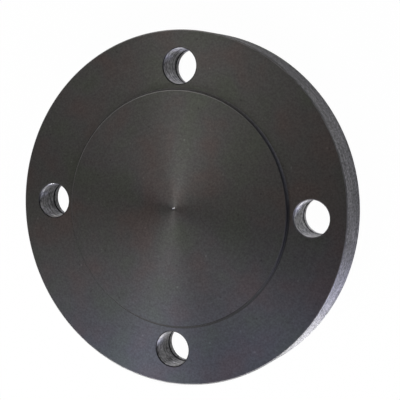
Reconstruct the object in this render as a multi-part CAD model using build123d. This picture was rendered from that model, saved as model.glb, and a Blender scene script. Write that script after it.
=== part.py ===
from build123d import *

import os

# Raised-face blind flange for an 80 mm (3 inch) pipe, pressure class 150, in millimetres.
# It is one steel forging: the faces and the rim are turned, then the bolt holes are drilled through.
# It lies on its back: the origin is the centre of the back face, and +Z runs out through the raised face.

# Bolt circle, which the rest of the disc is laid out round
bolt_circle_diameter = 152.4
bolt_count = 4
bolt_diameter = 15.875
bolt_clearance = 3.175
hole_mouth_break = 0.5
hole_exit_depth = 3.0
hole_exit_width = 1.5

# Metal outside the bolt holes, as far as the rim, and inside them, as far as the raised face
rim_land = 9.525
raised_face_land = 3.175

# Thickness, with the raised face, the round seat that the gasket is squeezed against
overall_thickness = 24.3
raised_face_height = 2.0

# Edges and the foot of the raised face, as the turning tool leaves them
rim_edge_break = 0.5
raised_face_edge_break = 0.4
raised_face_foot_radius = 1.0

# Mark of the lathe's centre, in the middle of the raised face
centre_mark_diameter = 2.0
centre_mark_depth = 0.8

# How far a cutter runs on past the surface that it leaves
cutter_overrun = 1.0

bolt_circle_radius = bolt_circle_diameter / 2
bolt_hole_radius = (bolt_diameter + bolt_clearance) / 2
rim_radius = bolt_circle_radius + bolt_hole_radius + rim_land
raised_face_radius = bolt_circle_radius - bolt_hole_radius - raised_face_land
joint_plane = overall_thickness - raised_face_height


def corner(section, radius, height):
    """The corner of a half section nearest to this radius and height."""
    return section.vertices().sort_by_distance((radius, height)).first


def turned_disc():
    """The forging after turning: half its section, spun once round the axis."""
    with BuildPart() as disc:
        with BuildSketch(Plane.XZ) as section:
            with BuildLine():
                Polyline(
                    (0, 0),
                    (rim_radius, 0),
                    (rim_radius, joint_plane),
                    (raised_face_radius, joint_plane),
                    (raised_face_radius, overall_thickness),
                    (0, overall_thickness),
                    close=True,
                )
            make_face()
            chamfer(corner(section, rim_radius, 0), rim_edge_break)
            chamfer(corner(section, rim_radius, joint_plane), rim_edge_break)
            fillet(corner(section, raised_face_radius, joint_plane), raised_face_foot_radius)
            chamfer(corner(section, raised_face_radius, overall_thickness), raised_face_edge_break)
        revolve(axis=Axis.Z)
    return disc.part


def bolt_hole():
    """What the drill takes out, with the mouth's edge broken and the exit countersunk at the back."""
    mouth = bolt_hole_radius + hole_mouth_break
    exit_edge = bolt_hole_radius + hole_exit_width
    with BuildPart() as hole:
        with BuildSketch(Plane.XZ):
            with BuildLine():
                Polyline(
                    (0, -cutter_overrun),
                    (exit_edge, -cutter_overrun),
                    (exit_edge, 0),
                    (bolt_hole_radius, hole_exit_depth),
                    (bolt_hole_radius, joint_plane - hole_mouth_break),
                    (mouth, joint_plane),
                    (mouth, joint_plane + cutter_overrun),
                    (0, joint_plane + cutter_overrun),
                    close=True,
                )
            make_face()
        revolve(axis=Axis.Z)
    return hole.part


def centre_mark():
    """A small cone, point down, that the lathe's centre leaves in the raised face."""
    mark = Cone(
        bottom_radius=0,
        top_radius=centre_mark_diameter / 2,
        height=centre_mark_depth,
        align=(Align.CENTER, Align.CENTER, Align.MAX),
    )
    return Pos(0, 0, overall_thickness) * mark


def blind_flange():
    holes = PolarLocations(bolt_circle_radius, bolt_count) * bolt_hole()
    return turned_disc() - holes - centre_mark()


os.makedirs("parts", exist_ok=True)
export_step(blind_flange(), "parts/blind_flange.step")
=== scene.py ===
import math

import bpy
from mathutils import Matrix, Vector


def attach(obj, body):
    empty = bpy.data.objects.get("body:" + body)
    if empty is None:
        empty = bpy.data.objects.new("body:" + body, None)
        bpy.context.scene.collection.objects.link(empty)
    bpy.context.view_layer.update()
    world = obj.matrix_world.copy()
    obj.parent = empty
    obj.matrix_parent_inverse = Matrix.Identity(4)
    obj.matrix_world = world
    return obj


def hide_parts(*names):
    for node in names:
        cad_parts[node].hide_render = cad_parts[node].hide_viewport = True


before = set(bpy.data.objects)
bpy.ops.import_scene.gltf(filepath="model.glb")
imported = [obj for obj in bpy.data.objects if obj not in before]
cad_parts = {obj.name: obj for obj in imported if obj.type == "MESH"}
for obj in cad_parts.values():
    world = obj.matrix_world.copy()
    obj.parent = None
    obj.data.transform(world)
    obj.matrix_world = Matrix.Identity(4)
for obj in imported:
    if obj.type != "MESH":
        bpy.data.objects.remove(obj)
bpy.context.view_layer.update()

# ---------------------------------------------------------------------------
# Camera
# It looks down on the raised face from the flange's +X side, a long lens well
# back, with the picture's top towards +Y.

camera_place = Vector((0.24682, 0.05656, 0.54202))
camera_aim = Vector((0.01414, 0.00573, 0.02239))
camera_up = Vector((-0.06154, 0.99562, -0.07034))

lens_data = bpy.data.cameras.new("long_lens")
lens_data.lens = 97.2
lens_data.sensor_width = 36
lens_data.clip_start = 0.01
lens_data.clip_end = 50
camera = bpy.data.objects.new("camera", lens_data)
bpy.context.scene.collection.objects.link(camera)
bpy.context.scene.camera = camera
camera_back = (camera_place - camera_aim).normalized()
camera_right = camera_up.cross(camera_back).normalized()
camera.matrix_world = Matrix.Translation(camera_place) @ Matrix(
    (camera_right, camera_back.cross(camera_right), camera_back)
).transposed().to_4x4()

# ---------------------------------------------------------------------------
# Blind flange
# One steel forging. Its faces and its rim are turned in a lathe, so every
# groove runs round the axis, and the four bolt holes are drilled through it.
# The steel is dark. Its broken edges are brighter and the holes' mouths darker. Tones on the faces,
# rim, holes, mouths and step are partly painted light and shade.

MM = 0.001

# Sizes in mm. Heights are above the back face.
bolt_circle_radius = 76.2
bolt_holes = 4
bolt_hole_radius = 9.525
rim_radius = 95.25
raised_face_radius = 63.5
joint_plane = 22.3
raised_face_plane = 24.3

# Radii that edges are rounded to
rim_edge = 0.6
raised_face_foot = 1.0
raised_face_edge = 0.5
centre_mark_edge = 0.12
crisp_edge = 0.1
soft_edge = 0.2

centre_mark_radius = 1.0
centre_mark_tip_radius = 0.25
centre_mark_tip = 23.62
centre_mark_bottom = 23.5

# Each corner of a half section: radius, height and the radius of its edge
disc_corners = [
    (0, 0, 0),
    (rim_radius, 0, rim_edge),
    (rim_radius, joint_plane, rim_edge),
    (raised_face_radius, joint_plane, raised_face_foot),
    (raised_face_radius, raised_face_plane, raised_face_edge),
    (centre_mark_radius, raised_face_plane, centre_mark_edge),
    (centre_mark_tip_radius, centre_mark_tip, crisp_edge),
    (0, centre_mark_bottom, 0),
]

# The drill leaves a countersink at the exit, a groove where it broke into the
# hole met from the back, and a few feed rings below the broken mouth
exit_radius = bolt_hole_radius + 1.5
exit_depth = 3.0
groove_radius = bolt_hole_radius + 0.35
groove_heights = (6.1, 6.4, 7.0, 7.3)
feed_rings = ((10.5, 0.02), (12.6, 0.02), (14.6, 0.03), (16.4, 0.03), (18.0, 0.04), (19.5, 0.05))
feed_ring_half_width = 0.35
mouth_break = 0.5
drill_below = -1.0
drill_above = joint_plane + 2.0

drill_corners = [
    (0, drill_below, 0),
    (exit_radius, drill_below, 0),
    (exit_radius, 0, 0),
    (bolt_hole_radius, exit_depth, soft_edge),
    (bolt_hole_radius, groove_heights[0], crisp_edge),
    (groove_radius, groove_heights[1], crisp_edge),
    (groove_radius, groove_heights[2], crisp_edge),
    (bolt_hole_radius, groove_heights[3], crisp_edge),
]
for height, depth in feed_rings:
    drill_corners += [
        (bolt_hole_radius, height - feed_ring_half_width, soft_edge),
        (bolt_hole_radius + depth, height, crisp_edge),
        (bolt_hole_radius, height + feed_ring_half_width, soft_edge),
    ]
drill_corners += [
    (bolt_hole_radius, joint_plane - mouth_break, soft_edge),
    (bolt_hole_radius + mouth_break, joint_plane, 0),
    (bolt_hole_radius + mouth_break, drill_above, 0),
    (0, drill_above, 0),
]


def half_section(name, corners, steps=3):
    """The outline that is spun round the axis: edges in the XZ plane, with rounded corners."""
    points = []
    for index, (radius, height, edge_radius) in enumerate(corners):
        here = Vector((radius, height))
        if not edge_radius:
            points.append(here)
            continue
        before = (Vector(corners[index - 1][:2]) - here).normalized()
        after = (Vector(corners[index + 1][:2]) - here).normalized()
        half_angle = before.angle(after) / 2
        reach = edge_radius / math.tan(half_angle)
        centre = here + (before + after).normalized() * edge_radius / math.sin(half_angle)
        first = here + before * reach - centre
        last = here + after * reach - centre
        sweep = first.angle(last)
        for step in range(steps + 1):
            share = step / steps
            turned = first * math.sin((1 - share) * sweep) + last * math.sin(share * sweep)
            points.append(centre + turned / math.sin(sweep))
    mesh = bpy.data.meshes.new(name)
    edges = [(n, n + 1) for n in range(len(points) - 1)]
    mesh.from_pydata([(p.x * MM, 0, p.y * MM) for p in points], edges, [])
    return bpy.data.objects.new(name, mesh)


def find_socket(sockets, name):
    """The socket of this name, or of this identifier where several share a name."""
    for socket in sockets:
        if socket.identifier == name:
            return socket
    return sockets[name]


def add(tree, kind, inputs=None, **settings):
    """A node with its settings. Each input gets a value, or is joined to another's output."""
    made = tree.nodes.new(kind)
    for setting, value in settings.items():
        setattr(made, setting, value)
    for socket, value in (inputs or {}).items():
        by_number = isinstance(socket, int)
        target = made.inputs[socket] if by_number else find_socket(made.inputs, socket)
        if isinstance(value, bpy.types.NodeSocket):
            tree.links.new(value, target)
        else:
            target.default_value = value
    return made


def number_math(tree, operation, *numbers):
    """Arithmetic on one or two numbers."""
    return add(tree, "ShaderNodeMath", dict(enumerate(numbers)), operation=operation).outputs[0]


def vector_math(tree, operation, *vectors):
    """Arithmetic on one or two vectors or colours."""
    made = add(tree, "ShaderNodeVectorMath", dict(enumerate(vectors)), operation=operation)
    return made.outputs["Value" if operation in ("DOT_PRODUCT", "LENGTH") else "Vector"]


def three_parts(tree, vector):
    """The X, Y and Z of a vector."""
    return add(tree, "ShaderNodeSeparateXYZ", {0: vector}).outputs[:3]


def new_tree(name, sockets):
    """A geometry tree with these inputs, and one output called Mesh."""
    tree = bpy.data.node_groups.new(name, "GeometryNodeTree")
    for socket, kind in sockets:
        tree.interface.new_socket(name=socket, in_out="INPUT", socket_type=kind)
    tree.interface.new_socket(name="Mesh", in_out="OUTPUT", socket_type="NodeSocketGeometry")
    return tree, tree.nodes.new("NodeGroupInput"), tree.nodes.new("NodeGroupOutput")


# Points nearer to each other than this are one point
same_point = 1e-6


def spin_tree():
    """Spins a half section once round the axis, as the lathe does, and closes it on the axis."""
    tree, given, result = new_tree(
        "spin_half_section",
        [("Half section", "NodeSocketGeometry"), ("Facets round the axis", "NodeSocketInt")],
    )
    outline = add(tree, "GeometryNodeMeshToCurve", {"Mesh": given.outputs["Half section"]})
    path_radius = 1 * MM
    x, _, z = three_parts(tree, add(tree, "GeometryNodeInputPosition").outputs[0])
    outwards = number_math(tree, "SUBTRACT", x, path_radius)
    downwards = number_math(tree, "MULTIPLY", z, -1.0)
    laid_flat = add(tree, "ShaderNodeCombineXYZ", {"X": outwards, "Y": downwards})
    profile = add(
        tree,
        "GeometryNodeSetPosition",
        {"Geometry": outline.outputs[0], "Position": laid_flat.outputs[0]},
    )
    path = add(
        tree,
        "GeometryNodeCurvePrimitiveCircle",
        {"Resolution": given.outputs["Facets round the axis"], "Radius": path_radius},
    )
    spun = add(
        tree,
        "GeometryNodeCurveToMesh",
        {"Curve": path.outputs["Curve"], "Profile Curve": profile.outputs[0]},
    )
    closed = add(
        tree, "GeometryNodeMergeByDistance", {"Geometry": spun.outputs[0], "Distance": same_point}
    )
    outside_out = add(tree, "GeometryNodeFlipFaces", {"Mesh": closed.outputs[0]})
    tree.links.new(outside_out.outputs[0], result.inputs["Mesh"])
    return tree


def compare(tree, value, operation, limit, **tolerance):
    """Whether a number is above, below or about this limit."""
    inputs = {0: value, 1: limit, **tolerance}
    return add(tree, "FunctionNodeCompare", inputs, operation=operation).outputs[0]


def both(tree, first, second):
    """Whether two things hold at once."""
    return add(tree, "FunctionNodeBooleanMath", {0: first, 1: second}, operation="AND").outputs[0]


def flange_tree(spin):
    """Spins the disc and the drill, drills the bolt circle and gives each surface its finish."""
    tree, given, result = new_tree(
        "turn_and_drill",
        [
            ("Disc half section", "NodeSocketGeometry"),
            ("Drill half section", "NodeSocketObject"),
            ("Bolt circle radius", "NodeSocketFloat"),
            ("Bolt holes", "NodeSocketInt"),
            ("Facets round the disc", "NodeSocketInt"),
            ("Facets round a hole", "NodeSocketInt"),
            ("Face finish", "NodeSocketMaterial"),
            ("Rim finish", "NodeSocketMaterial"),
            ("Bore finish", "NodeSocketMaterial"),
            ("Broken edge finish", "NodeSocketMaterial"),
            ("Step finish", "NodeSocketMaterial"),
            ("Mouth finish", "NodeSocketMaterial"),
        ],
    )
    disc = add(
        tree,
        "GeometryNodeGroup",
        {0: given.outputs["Disc half section"], 1: given.outputs["Facets round the disc"]},
        node_tree=spin,
    )
    drill_section = add(
        tree, "GeometryNodeObjectInfo", {"Object": given.outputs["Drill half section"]}
    )
    drill = add(
        tree,
        "GeometryNodeGroup",
        {0: drill_section.outputs["Geometry"], 1: given.outputs["Facets round a hole"]},
        node_tree=spin,
    )
    bolt_circle = add(
        tree,
        "GeometryNodeMeshCircle",
        {"Vertices": given.outputs["Bolt holes"], "Radius": given.outputs["Bolt circle radius"]},
    )
    drills = add(
        tree,
        "GeometryNodeInstanceOnPoints",
        {"Points": bolt_circle.outputs["Mesh"], "Instance": drill.outputs[0]},
    )
    drills_made_real = add(tree, "GeometryNodeRealizeInstances", {0: drills.outputs[0]})
    drilled = add(tree, "GeometryNodeMeshBoolean", operation="DIFFERENCE", solver="MANIFOLD")
    tree.links.new(disc.outputs[0], drilled.inputs["Mesh 1"])
    tree.links.new(drills_made_real.outputs[0], drilled.inputs["Mesh 2"])
    merged = add(
        tree,
        "GeometryNodeMergeByDistance",
        {"Geometry": drilled.outputs["Mesh"], "Distance": same_point},
    )

    # Which surface a facet belongs to: flat ones face up or down, and the rest
    # lie on the rim, in a hole or on an edge. Steepness is 0 on a wall, 1 on a face.
    wall_steepness = 0.35
    face_steepness = 0.985
    past_raised_face = (raised_face_radius + 1.0) * MM
    rim_starts = (rim_radius - 0.3) * MM
    rim_edge_starts = (rim_radius - 1.5) * MM
    step_width = 1.2 * MM
    x, y, _ = three_parts(tree, add(tree, "GeometryNodeInputPosition").outputs[0])
    flat_place = add(tree, "ShaderNodeCombineXYZ", {"X": x, "Y": y})
    radius = vector_math(tree, "LENGTH", flat_place.outputs[0])
    normal = three_parts(tree, add(tree, "GeometryNodeInputNormal").outputs[0])
    steepness = number_math(tree, "ABSOLUTE", normal[2])
    upright = compare(tree, steepness, "LESS_THAN", wall_steepness)
    sloping = compare(tree, steepness, "LESS_THAN", face_steepness)
    off_raised_face = compare(tree, radius, "GREATER_THAN", past_raised_face)
    on_rim = compare(tree, radius, "GREATER_THAN", rim_starts)
    off_rim = compare(tree, radius, "LESS_THAN", rim_edge_starts)
    by_step = compare(tree, radius, "EQUAL", raised_face_radius * MM, Epsilon=step_width)
    by_bolts = both(tree, off_rim, off_raised_face)
    finished = add(
        tree,
        "GeometryNodeSetMaterial",
        {"Geometry": merged.outputs[0], "Material": given.outputs["Face finish"]},
    )
    for chosen, finish in (
        (sloping, "Broken edge finish"),
        (both(tree, by_bolts, sloping), "Mouth finish"),
        (upright, "Rim finish"),
        (both(tree, upright, off_raised_face), "Bore finish"),
        (both(tree, upright, on_rim), "Rim finish"),
        (both(tree, by_step, sloping), "Step finish"),
    ):
        finished = add(
            tree,
            "GeometryNodeSetMaterial",
            {
                "Geometry": finished.outputs[0],
                "Selection": chosen,
                "Material": given.outputs[finish],
            },
        )
    smooth = add(
        tree, "GeometryNodeSetShadeSmooth", {"Geometry": finished.outputs[0]}, domain="FACE"
    )
    crease_angle = math.radians(12)
    bend = add(tree, "GeometryNodeInputMeshEdgeAngle")
    crease = compare(tree, bend.outputs["Unsigned Angle"], "GREATER_THAN", crease_angle)
    creased = add(
        tree,
        "GeometryNodeSetShadeSmooth",
        {"Geometry": smooth.outputs[0], "Selection": crease, "Shade Smooth": False},
        domain="EDGE",
    )
    tree.links.new(creased.outputs[0], result.inputs["Mesh"])
    return tree


def map_range(tree, value, low, high, to_low=0.0, to_high=1.0):
    """A number moved from one range to another, and held inside it."""
    ends = {"From Min": low, "From Max": high, "To Min": to_low, "To Max": to_high}
    return add(tree, "ShaderNodeMapRange", {"Value": value, **ends}).outputs[0]


def vary(tree, noise, low, high):
    """A noise, which lies mostly between 0.3 and 0.7, spread from low to high."""
    return map_range(tree, noise, 0.3, 0.7, low, high)


def speckles(tree, place, scale, detail, roughness=0.5):
    """A noise of this many speckles to the metre."""
    inputs = {"Vector": place, "Scale": scale, "Detail": detail, "Roughness": roughness}
    return add(tree, "ShaderNodeTexNoise", inputs).outputs["Fac"]


def stretched(tree, place, scale, shift=(0.0, 0.0, 0.0)):
    """Places scaled by their own amount in each direction, so that a noise is stretched."""
    inputs = {"Vector": place, "Location": shift, "Scale": scale}
    return add(tree, "ShaderNodeMapping", inputs).outputs[0]


def ramp(tree, value, stops):
    """A colour that follows a number. A stop is a position and a colour, or a number for a grey."""
    made = add(tree, "ShaderNodeValToRGB", {0: value})
    elements = made.color_ramp.elements
    while len(elements) > 1:
        elements.remove(elements[-1])
    for index, (position, colour) in enumerate(stops):
        stop = elements[0] if index == 0 else elements.new(position)
        stop.position = position
        stop.color = (*colour, 1) if isinstance(colour, tuple) else (colour, colour, colour, 1)
    return made.outputs[0]


def toned(tree, colour, *tones):
    """A colour multiplied by each tone in turn."""
    for tone in tones:
        colour = vector_math(tree, "MULTIPLY", colour, tone)
    return colour


def mixed(tree, share, first, second):
    """From the first colour at share 0 to the second at share 1."""
    inputs = {"Factor": share, "A_Color": first, "B_Color": second}
    return find_socket(add(tree, "ShaderNodeMix", inputs, data_type="RGBA").outputs, "Result_Color")


def scaled(tree, colour, factor):
    """A colour made this many times as bright."""
    inputs = {0: colour, "Scale": factor}
    return add(tree, "ShaderNodeVectorMath", inputs, operation="SCALE").outputs["Vector"]


def grooved(tree, height, strength, depth):
    """A normal that shows these heights as fine grooves."""
    inputs = {"Height": height, "Strength": strength, "Distance": depth}
    return add(tree, "ShaderNodeBump", inputs).outputs[0]


def new_finish(name, **numbers):
    """A material, its node tree, its shader with these numbers, and the places on the part."""
    material = bpy.data.materials.new(name)
    material.use_nodes = True
    tree = material.node_tree
    shader = tree.nodes["Principled BSDF"]
    for socket, value in numbers.items():
        shader.inputs[socket.replace("_", " ")].default_value = value
    return material, tree, shader, add(tree, "ShaderNodeTexCoord").outputs["Object"]


def join(tree, shader, sockets):
    """Joins what was made for each of the shader's sockets to it."""
    for socket, value in sockets.items():
        tree.links.new(value, shader.inputs[socket])


def turned_face_finish():
    """Facing cuts: fine grooves round the axis, which spread light, over faintly tinted steel,
    painted bluer towards -Y.
    """
    material, tree, shader, place = new_finish("turned_face", Metallic=1.0, Anisotropic=0.72)
    flat = vector_math(tree, "MULTIPLY", place, (1, 1, 0))
    passes = add(
        tree,
        "ShaderNodeTexNoise",
        {"W": vector_math(tree, "LENGTH", flat), "Scale": 650.0, "Detail": 3.0, "Roughness": 0.6},
        noise_dimensions="1D",
    ).outputs["Fac"]

    # Large faint stains, brown to olive, and a painted blue tint that grows towards -Y, standing
    # for the bluish light the faces reflect there
    stain_place = stretched(tree, place, (40, 40, 40), shift=(2.0, 1.0, 0.0))
    stain = ramp(tree, speckles(tree, stain_place, 1.0, 2.0, 0.55), [
        (0.34, (0.0708, 0.0608, 0.0588)),
        (0.5, (0.064, 0.063, 0.062)),
        (0.66, (0.0617, 0.0655, 0.0576)),
    ])
    down = vector_math(tree, "DOT_PRODUCT", place, (0.15, -1, 0))
    painted_blue_reflection = ramp(tree, map_range(tree, down, -60 * MM, 75 * MM), [
        (0.0, (0.75, 0.752, 0.75)),
        (0.44, 0.8),
        (0.74, (0.785, 0.797, 0.875)),
        (1.0, (0.745, 0.788, 1.0)),
    ])
    steel_brightness = 1.25
    tint = scaled(tree, toned(tree, stain, painted_blue_reflection), steel_brightness)

    # Turning rings, grain, and a few small nicks, some of them bright and some dark
    grain = vary(tree, speckles(tree, place, 1000.0, 2.0), 0.84, 1.16)
    shade = number_math(tree, "MULTIPLY", vary(tree, passes, 0.96, 1.04), grain)
    nick_middle = 0.2 * MM
    nick_edge = 0.75 * MM
    for per_metre, tone in ((31.0, 1.4), (43.0, 0.7), (72.0, 1.15)):
        spots = add(
            tree,
            "ShaderNodeTexVoronoi",
            {"Vector": place, "Scale": per_metre, "Randomness": 1.0},
            voronoi_dimensions="2D",
        ).outputs["Distance"]
        nick = map_range(tree, spots, nick_middle * per_metre, nick_edge * per_metre, tone, 1.0)
        shade = number_math(tree, "MULTIPLY", shade, nick)
    join(tree, shader, {
        "Base Color": toned(tree, tint, shade),
        "Roughness": vary(tree, passes, 0.40, 0.44),
        "Normal": grooved(tree, passes, 0.25, 0.05 * MM),
        "Tangent": vector_math(tree, "NORMALIZE", flat),
    })
    return material


def along_axis(tree):
    """The direction in which light spreads on a wall whose grooves run round it."""
    return add(tree, "ShaderNodeCombineXYZ", {"Z": 1.0}).outputs[0]


def turned_rim_finish():
    """The rim is turned with a coarser feed: streaks run round it and light spreads up and down.
    Its colour carries a painted highlight towards -Y.
    """
    material, tree, shader, place = new_finish("turned_rim", Metallic=1.0, Anisotropic=0.9)
    feed = speckles(tree, stretched(tree, place, (50, 50, 1500)), 1.0, 4.0, 0.6)
    colour = ramp(tree, feed, [(0.4, (0.15, 0.149, 0.151)), (0.6, (0.34, 0.336, 0.344))])
    _, across, _ = three_parts(tree, place)
    # Painted highlight: the rim's colour is lightest a little short of its -Y end, where it
    # reflects the softboxes, and slightly darker elsewhere.
    painted_rim_highlight = ramp(tree, map_range(tree, across, -rim_radius * MM, rim_radius * MM), [
        (0.08, 0.8),
        (0.14, 1.5),
        (0.24, 1.0),
        (1.0, 0.9),
    ])
    pitted = vary(tree, speckles(tree, place, 850.0, 2.0), 0.35, 1.65)
    join(tree, shader, {
        "Base Color": toned(tree, colour, painted_rim_highlight, pitted),
        "Roughness": vary(tree, feed, 0.46, 0.54),
        "Normal": grooved(tree, feed, 0.3, 0.1 * MM),
        "Tangent": along_axis(tree),
    })
    return material


def drilled_bore_finish():
    """Bare drilled steel with feed marks and a groove near the exit, with painted light and shade
    on its walls.
    """
    material, tree, shader, place = new_finish("drilled_bore", Metallic=1.0, Anisotropic=0.85)
    marks = speckles(tree, stretched(tree, place, (120, 120, 1200)), 1.0, 3.0, 0.65)
    colour = ramp(tree, marks, [(0.38, (0.22, 0.219, 0.22)), (0.62, (0.66, 0.657, 0.67))])

    # The holes lie on the two axes, so the longer of X and Y says whose hole
    # this is. The wall then runs from 0 at the hole's -Y end to 1 at its +Y end.
    x, y, z = three_parts(tree, place)
    far_x = number_math(tree, "ABSOLUTE", x)
    far_y = number_math(tree, "ABSOLUTE", y)
    on_y_axis = number_math(tree, "GREATER_THAN", far_y, far_x)
    which_way = number_math(tree, "MULTIPLY", on_y_axis, number_math(tree, "SIGN", y))
    hole_centre = number_math(tree, "MULTIPLY", which_way, bolt_circle_radius * MM)
    in_hole = number_math(tree, "SUBTRACT", y, hole_centre)
    wall = map_range(tree, in_hole, -bolt_hole_radius * MM, bolt_hole_radius * MM)
    # Painted highlights: each wall is lighter at both its -Y and +Y ends, and bluer at the +Y end.
    painted_wall_highlights = ramp(tree, wall, [(0.0, 1.0), (0.07, 0.46), (0.88, 0.42), (1.0, (1.2, 1.2, 1.4))])
    # Painted shade: the wall is almost black in the groove near the exit, and a little lighter
    # between it and the exit.
    painted_depth_shade = ramp(tree, map_range(tree, z, 0.0, joint_plane * MM), [
        (0.245, 0.60),
        (0.268, 0.05),
        (0.328, 0.05),
        (0.352, 0.46),
        (1.0, 0.56),
    ])

    # Painted light and shade: in all four holes the side towards the axis is lighter, and the side
    # towards the rim darker
    axis_side = (bolt_circle_radius - bolt_hole_radius) * MM
    rim_side = (bolt_circle_radius + bolt_hole_radius) * MM
    radius = vector_math(tree, "LENGTH", vector_math(tree, "MULTIPLY", place, (1, 1, 0)))
    painted_axis_side_light = ramp(tree, map_range(tree, radius, axis_side, rim_side), [
        (0.0, 0.9),
        (0.5, 0.5),
        (1.0, 0.35),
    ])

    # These three tones lie round a half, so their product is doubled three times
    three_doublings = 8.0
    painted_wall_shading = scaled(tree, toned(tree, painted_wall_highlights, painted_depth_shade, painted_axis_side_light), three_doublings)
    pitted = vary(tree, speckles(tree, place, 620.0, 2.0), 0.5, 1.5)
    bare_steel = toned(tree, colour, painted_wall_shading, pitted)

    # No metal gives back all the light that falls on it
    brightest = (0.95, 0.95, 0.95)
    join(tree, shader, {
        "Base Color": vector_math(tree, "MINIMUM", bare_steel, brightest),
        "Roughness": vary(tree, marks, 0.41, 0.49),
        "Normal": grooved(tree, marks, 0.3, 0.1 * MM),
        "Tangent": along_axis(tree),
    })
    return material


def broken_edge_finish():
    """Where a file or a chamfering tool took the edge off: brighter, slightly uneven metal."""
    material, tree, shader, place = new_finish("broken_edge", Metallic=1.0)
    wear = speckles(tree, place, 260.0, 3.0)
    join(tree, shader, {
        "Base Color": ramp(tree, wear, [(0.35, (0.16, 0.158, 0.156)), (0.65, (0.24, 0.238, 0.24))]),
        "Roughness": vary(tree, wear, 0.35, 0.5),
    })
    return material


def mouth_finish():
    """The broken edge round each hole, dark, and painted lighter towards the +X hole."""
    material, tree, shader, place = new_finish("hole_mouth", Metallic=1.0)
    mouth_mottle = speckles(tree, place, 400.0, 3.0)
    colour = ramp(tree, mouth_mottle, [(0.35, (0.028, 0.027, 0.028)), (0.7, (0.06, 0.059, 0.06))])
    x, _, _ = three_parts(tree, place)
    # Painted light: the mouths get lighter towards the +X hole.
    painted_light_towards_x = map_range(tree, x, 20 * MM, 60 * MM, 1.0, 3.5)
    join(tree, shader, {
        "Base Color": toned(tree, colour, painted_light_towards_x),
        "Roughness": vary(tree, mouth_mottle, 0.5, 0.65),
    })
    return material


def step_finish():
    """The raised face's edge, with a painted highlight towards +Y, and its foot, painted dark as
    shade in the corner and lighter towards +Y.
    """
    material, tree, shader, place = new_finish("raised_step", Specular_IOR_Level=0.2)
    dust = speckles(tree, place, 900.0, 3.0)
    foot_mottle = ramp(tree, dust, [(0.35, (0.8, 0.79, 0.8)), (0.7, (1.2, 1.19, 1.21))])
    # Painted shade: the foot is nearly black in the corner, and painted lighter towards +Y.
    towards_lit_foot = vector_math(tree, "DOT_PRODUCT", place, (0.3, 0.954, 0))
    painted_foot_light = map_range(tree, towards_lit_foot, 22 * MM, 62 * MM, 0.015, 0.16)
    foot = toned(tree, foot_mottle, painted_foot_light)
    # Painted highlight: the edge is lightest towards +Y and darkest towards -Y.
    towards_edge_highlight = vector_math(tree, "DOT_PRODUCT", place, (-0.35, 1, 0))
    painted_edge_highlight = ramp(tree, map_range(tree, towards_edge_highlight, -65 * MM, 65 * MM), [
        (0.0, (0.028, 0.027, 0.028)),
        (0.3, (0.07, 0.069, 0.07)),
        (0.5, (0.06, 0.059, 0.06)),
        (0.67, (0.12, 0.119, 0.12)),
        (0.95, (0.33, 0.328, 0.33)),
    ])
    _, _, z = three_parts(tree, place)
    foot_ends = 23.4 * MM
    edge_starts = 23.9 * MM
    up_the_step = map_range(tree, z, foot_ends, edge_starts)
    join(tree, shader, {
        "Base Color": mixed(tree, up_the_step, foot, painted_edge_highlight),
        "Metallic": up_the_step,
        "Roughness": vary(tree, dust, 0.45, 0.6),
    })
    return material


lathe_work = half_section("disc_half_section", disc_corners)
drill_shape = half_section("drill_half_section", drill_corners)
bpy.context.scene.collection.objects.link(lathe_work)
bpy.context.scene.collection.objects.link(drill_shape)

making = lathe_work.modifiers.new("turn_and_drill", "NODES")
making.node_group = flange_tree(spin_tree())
making_values = {
    "Drill half section": drill_shape,
    "Bolt circle radius": bolt_circle_radius * MM,
    "Bolt holes": bolt_holes,
    "Facets round the disc": 360,
    "Facets round a hole": 96,
    "Face finish": turned_face_finish(),
    "Rim finish": turned_rim_finish(),
    "Bore finish": drilled_bore_finish(),
    "Broken edge finish": broken_edge_finish(),
    "Step finish": step_finish(),
    "Mouth finish": mouth_finish(),
}
for item in making.node_group.interface.items_tree:
    if item.in_out == "INPUT" and item.name in making_values:
        making[item.identifier] = making_values[item.name]

bpy.context.view_layer.update()
made = lathe_work.evaluated_get(bpy.context.evaluated_depsgraph_get())
flange_mesh = bpy.data.meshes.new_from_object(made)
flange_mesh.name = "blind_flange"
flange_mesh.materials.pop(index=0)
flange = bpy.data.objects.new("turned_flange", flange_mesh)
bpy.context.scene.collection.objects.link(flange)
bpy.data.objects.remove(lathe_work)
bpy.data.objects.remove(drill_shape)
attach(flange, "root")
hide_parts("blind_flange")

# ---------------------------------------------------------------------------
# Floor
# A pale studio sweep that the flange lies on. It keeps the flange's shadow.
# To the camera it shows nearly white, and in the metal a pale grey.

floor_half = 3.0
floor_gap = 0.0002
camera_whiteness = 0.985
metal_whiteness = 0.3

floor_mesh = bpy.data.meshes.new("floor")
floor_mesh.from_pydata(
    [
        (-floor_half, -floor_half, 0),
        (floor_half, -floor_half, 0),
        (floor_half, floor_half, 0),
        (-floor_half, floor_half, 0),
    ],
    [],
    [(0, 1, 2, 3)],
)
floor = bpy.data.objects.new("floor", floor_mesh)
floor.location.z = -floor_gap
bpy.context.scene.collection.objects.link(floor)
paper = bpy.data.materials.new("pale_paper")
paper.use_nodes = True
paper_tree = paper.node_tree
paper_tree.nodes.clear()
seen = add(paper_tree, "ShaderNodeLightPath")
shadow_catching = add(paper_tree, "ShaderNodeBsdfDiffuse", {"Color": (0.9, 0.9, 0.9, 1)})
white = add(paper_tree, "ShaderNodeEmission", {"Color": (1, 1, 1, 1), "Strength": 1.0})
to_camera = number_math(paper_tree, "MULTIPLY", seen.outputs["Is Camera Ray"], camera_whiteness)
to_metal = number_math(paper_tree, "MULTIPLY", seen.outputs["Is Glossy Ray"], metal_whiteness)
whiteness = number_math(paper_tree, "MAXIMUM", to_camera, to_metal)
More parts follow.
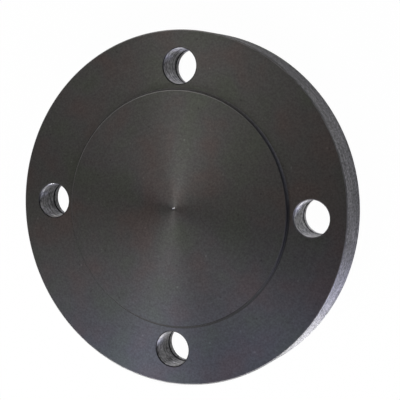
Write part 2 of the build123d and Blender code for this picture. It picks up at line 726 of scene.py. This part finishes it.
paper_mix = add(
    paper_tree,
    "ShaderNodeMixShader",
    {0: whiteness, 1: shadow_catching.outputs[0], 2: white.outputs[0]},
)
add(paper_tree, "ShaderNodeOutputMaterial", {"Surface": paper_mix.outputs[0]})
floor_mesh.materials.append(paper)

# ---------------------------------------------------------------------------
# Studio light
# A pale room and softboxes round the flange. The metal is dark, so what it
# shows is mostly these boxes, spread across its turned grooves.

softbox_distance = 1.2
softbox_size = 0.4
room_strength = 0.03


def softbox(name, azimuth, elevation, watts, colour):
    """A square softbox that faces the flange, turned from +X towards +Y and raised."""
    data = bpy.data.lights.new(name, "AREA")
    data.shape = "SQUARE"
    data.size = softbox_size
    data.energy = watts
    data.color = colour
    box = bpy.data.objects.new(name, data)
    turn, rise = math.radians(azimuth), math.radians(elevation)
    level = math.cos(rise)
    away = Vector((math.cos(turn) * level, math.sin(turn) * level, math.sin(rise)))
    box.location = away * softbox_distance
    box.rotation_mode = "QUATERNION"
    box.rotation_quaternion = away.to_track_quat("Z", "Y")
    box.visible_camera = False
    bpy.context.scene.collection.objects.link(box)


softbox("left_softbox", -120, 20, 11.9, (1, 1, 1))
softbox("front_softbox", -60, 20, 6.7, (1, 1, 1))
softbox("right_softbox", -40, 20, 4.6, (0.66, 0.67, 1.0))
softbox("high_front_softbox", -90, 50, 2.7, (0.95, 0.95, 1.0))
softbox("upper_left_softbox", -150, 50, 1.6, (1, 1, 1))
softbox("far_softbox", -180, 65, 0.95, (1.0, 0.93, 0.88))
softbox("back_softbox", 120, 35, 2.0, (1.0, 0.96, 0.9))
softbox("high_back_softbox", 120, 65, 0.45, (1, 1, 1))
softbox("back_right_softbox", 40, 20, 0.4, (1, 1, 1))

world = bpy.data.worlds.new("pale_room")
bpy.context.scene.world = world
world.use_nodes = True
room_tree = world.node_tree
room_tree.nodes.clear()
room_path = add(room_tree, "ShaderNodeLightPath")
pure_white = (1, 1, 1, 1)
room_light = add(
    room_tree, "ShaderNodeBackground", {"Color": pure_white, "Strength": room_strength}
)
room_white = add(room_tree, "ShaderNodeBackground", {"Color": pure_white, "Strength": 1.0})
room_mix = add(
    room_tree,
    "ShaderNodeMixShader",
    {0: room_path.outputs["Is Camera Ray"], 1: room_light.outputs[0], 2: room_white.outputs[0]},
)
add(room_tree, "ShaderNodeOutputWorld", {"Surface": room_mix.outputs[0]})

bpy.context.scene.view_settings.view_transform = "Standard"
